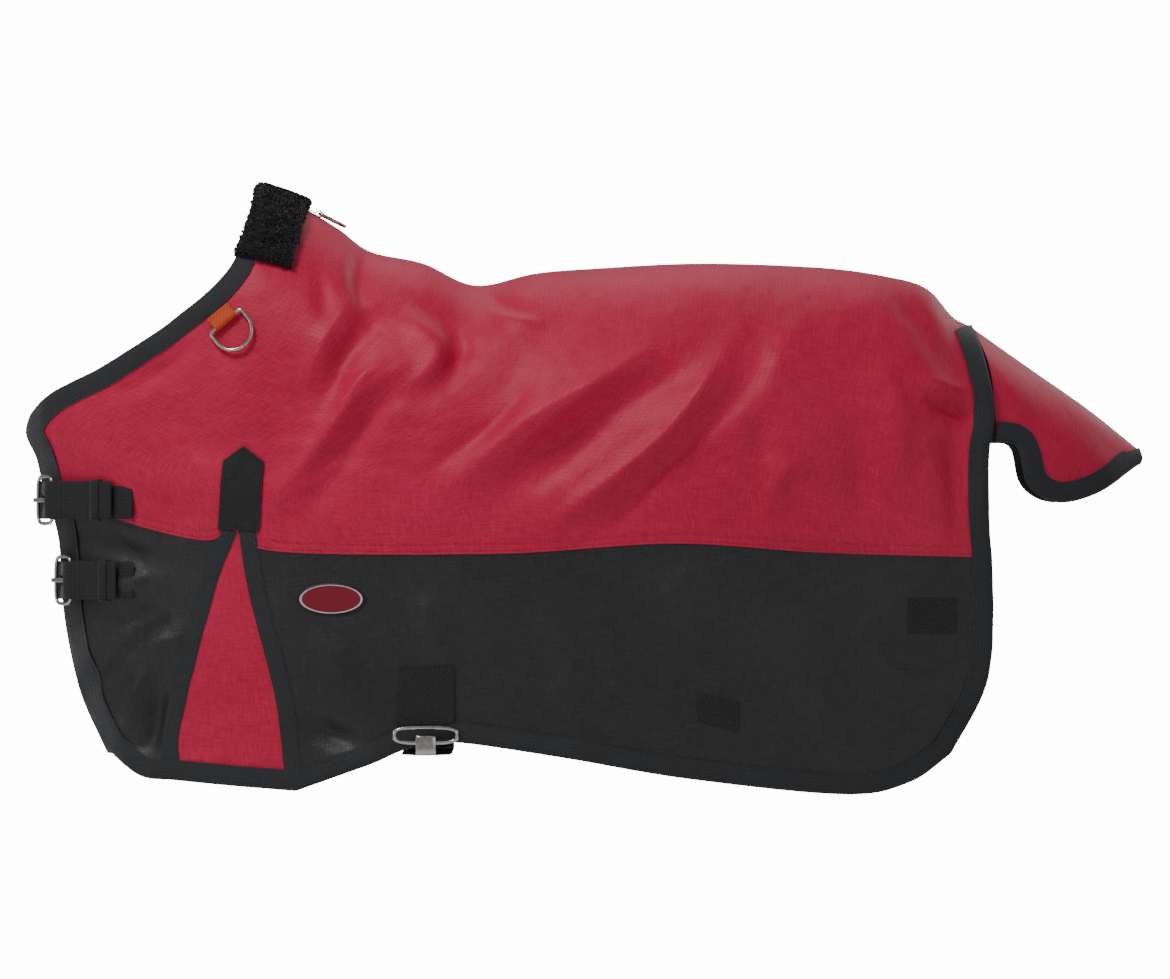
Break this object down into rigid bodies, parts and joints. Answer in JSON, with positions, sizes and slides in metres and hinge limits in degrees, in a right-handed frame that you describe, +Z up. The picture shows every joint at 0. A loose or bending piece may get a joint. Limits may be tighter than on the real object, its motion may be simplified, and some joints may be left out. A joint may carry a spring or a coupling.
{
  "type": "turnout rug",
  "caption": "Two-tone quilted turnout rug for a small pony, with shoulder gussets, buckled chest straps, belly and leg straps, tail flap and fleece at the withers.",
  "frame": {"origin": "point of the lining's inner face that rests on the spine, in the dip behind the withers", "axes": "+X towards the tail, +Y towards the off side, +Z up"},
  "size_m": [1.109, 0.3792, 0.6128],
  "materials": {
    "red_cloth": "satin woven polyester, waterproof coated",
    "black_cloth": "satin woven polyester, waterproof coated",
    "binding": "matt ribbed tape",
    "wadding": "matt fibre",
    "lining": "smooth woven nylon",
    "fleece": "deep curly pile",
    "black_webbing": "matt ribbed webbing",
    "orange_webbing": "matt ribbed webbing",
    "label": "matt woven patch",
    "nickel": "nickel plated, polished"
  },
  "bodies": {
    "rug": {"belly_patch_near": "black_webbing", "belly_patch_off": "black_webbing", "belly_receiver": "nickel", "filling": "wadding", "front_binding_near": "binding", "front_binding_off": "binding", "front_panel_near": "black_cloth", "front_panel_off": "black_cloth", "gusset_binding_near": "binding", "gusset_binding_off": "binding", "gusset_front_tape_near": "binding", "gusset_front_tape_off": "binding", "gusset_near": "red_cloth", "gusset_off": "red_cloth", "gusset_point_patch_near": "black_webbing", "gusset_point_patch_off": "black_webbing", "gusset_rear_tape_near": "binding", "gusset_rear_tape_off": "binding", "label_patch": "label", "leg_front_patch_near": "black_webbing", "leg_front_patch_off": "black_webbing", "leg_rear_patch_near": "black_webbing", "leg_rear_patch_off": "black_webbing", "leg_ring_near": "nickel", "leg_ring_off": "nickel", "leg_snap_near": "nickel", "leg_snap_off": "nickel", "leg_strap_near": "black_webbing", "leg_strap_off": "black_webbing", "lining": "lining", "lower_billet": "black_webbing", "lower_buckle": "nickel", "lower_buckle_strap": "black_webbing", "lower_keeper": "black_webbing", "neck_near_tab": "orange_webbing", "neck_off_tab": "orange_webbing", "rear_binding_near": "binding", "rear_binding_off": "binding", "rear_panel_near": "black_cloth", "rear_panel_off": "black_cloth", "upper_billet": "black_webbing", "upper_buckle": "nickel", "upper_buckle_strap": "black_webbing", "upper_keeper": "black_webbing", "upper_shell": "red_cloth", "withers_fleece": "fleece", "withers_tab": "orange_webbing"},
    "tail_flap": {"tail_flap_shell": "red_cloth", "tail_flap_lining": "lining", "tail_flap_binding": "binding"},
    "withers_ring": {"withers_ring": "nickel"},
    "neck_near_ring": {"neck_near_ring": "nickel"},
    "neck_off_ring": {"neck_off_ring": "nickel"},
    "upper_tongue": {"upper_tongue": "nickel"},
    "lower_tongue": {"lower_tongue": "nickel"},
    "belly_strap": {"belly_strap": "black_webbing", "belly_hook": "nickel"},
    "leg_bolt_near": {"leg_bolt_near": "nickel"},
    "leg_bolt_off": {"leg_bolt_off": "nickel"}
  },
  "joints": [
    {"name": "tail_flap_lift", "type": "hinge", "parent": "rug", "child": "tail_flap", "pos_m": [0.4975, 0, -0.0345], "axis": [0, -1, 0], "range_deg": [0, 70]},
    {"name": "withers_ring_swing", "type": "hinge", "parent": "rug", "child": "withers_ring", "pos_m": [-0.15513, 0, 0.07933], "axis": [0, -1, 0], "range_deg": [0, 100]},
    {"name": "neck_near_ring_swing", "type": "hinge", "parent": "rug", "child": "neck_near_ring", "pos_m": [-0.24691, -0.14225, -0.02926], "axis": [-0.7707, 0.0591, -0.6345], "range_deg": [0, 120]},
    {"name": "neck_off_ring_swing", "type": "hinge", "parent": "rug", "child": "neck_off_ring", "pos_m": [-0.24691, 0.14225, -0.02926], "axis": [0.7707, 0.0591, 0.6345], "range_deg": [0, 120]},
    {"name": "upper_tongue_turn", "type": "hinge", "parent": "rug", "child": "upper_tongue", "pos_m": [-0.4213, -0.0555, -0.207], "axis": [0, 0, 1], "range_deg": [0, 18]},
    {"name": "lower_tongue_turn", "type": "hinge", "parent": "rug", "child": "lower_tongue", "pos_m": [-0.40269, -0.05429, -0.287], "axis": [0, 0, 1], "range_deg": [0, 18]},
    {"name": "belly_strap_drop", "type": "hinge", "parent": "rug", "child": "belly_strap", "pos_m": [-0.0475, 0.18127, -0.4304], "axis": [1, 0, 0], "range_deg": [0, 75]},
    {"name": "leg_bolt_near_slide", "type": "slide", "parent": "rug", "child": "leg_bolt_near", "axis": [-0.7288, 0, -0.6848], "range_m": [0, 0.006], "stiffness_N_per_m": 60, "springref_m": -0.004},
    {"name": "leg_bolt_off_slide", "type": "slide", "parent": "rug", "child": "leg_bolt_off", "axis": [-0.7288, 0, -0.6848], "range_m": [0, 0.006], "stiffness_N_per_m": 60, "springref_m": -0.004}
  ]
}
